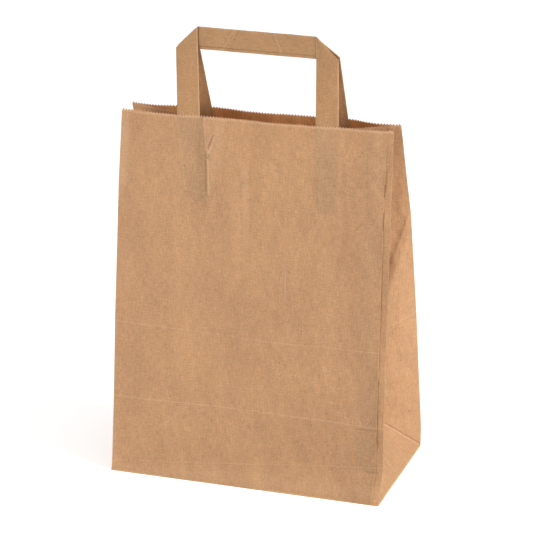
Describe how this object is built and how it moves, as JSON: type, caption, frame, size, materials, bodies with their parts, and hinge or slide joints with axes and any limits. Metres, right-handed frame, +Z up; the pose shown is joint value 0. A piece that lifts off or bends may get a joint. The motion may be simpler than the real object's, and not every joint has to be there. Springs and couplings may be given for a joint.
{
  "type": "paper carrier bag",
  "caption": "Kraft paper carrier bag standing open, with gusseted sides, a folded block bottom, a serrated mouth and flat folded paper handles glued inside.",
  "frame": {"origin": "on the surface that the bag stands on, under the middle of its outer box", "axes": "+X along the wide face to the right, +Y from the front panel to the back panel, +Z up towards the handles"},
  "size_m": [0.262, 0.1466, 0.4223],
  "materials": {
    "kraft_sheet": "unbleached brown kraft paper, matt, with fine lengthwise fibre streaks and soft creases",
    "handle_strip": "several plies of folded and glued brown kraft paper, matt"
  },
  "bodies": {
    "root": {"bag_body": "kraft_sheet", "front_handle": "handle_strip", "rear_handle": "handle_strip"}
  },
  "joints": []
}
